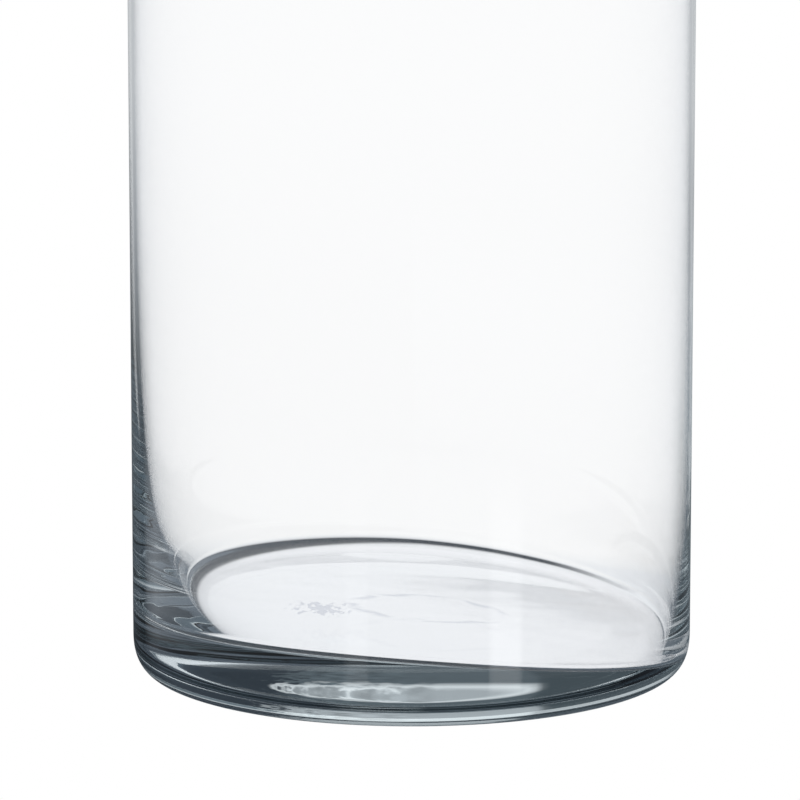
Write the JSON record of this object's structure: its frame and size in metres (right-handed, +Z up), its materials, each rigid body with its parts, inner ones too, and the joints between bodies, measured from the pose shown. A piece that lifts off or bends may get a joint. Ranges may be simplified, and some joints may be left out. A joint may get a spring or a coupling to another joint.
{
  "type": "glass cylinder vase",
  "caption": "Tall straight-sided cylinder vase in clear glass, with a heavy base and thin walls, for water and cut flower stems.",
  "frame": {"origin": "centre of the foot, on the surface that the vase stands on", "axes": "+Z up along the outside's axis; +X towards the side where the lower wall is thinner; the front looks along -Y"},
  "size_m": [0.15, 0.15, 0.3],
  "materials": {
    "clear_glass": "clear, fire-polished, with faint ripples in the lower wall"
  },
  "bodies": {
    "root": {"glass_vessel": "clear_glass"}
  },
  "joints": []
}
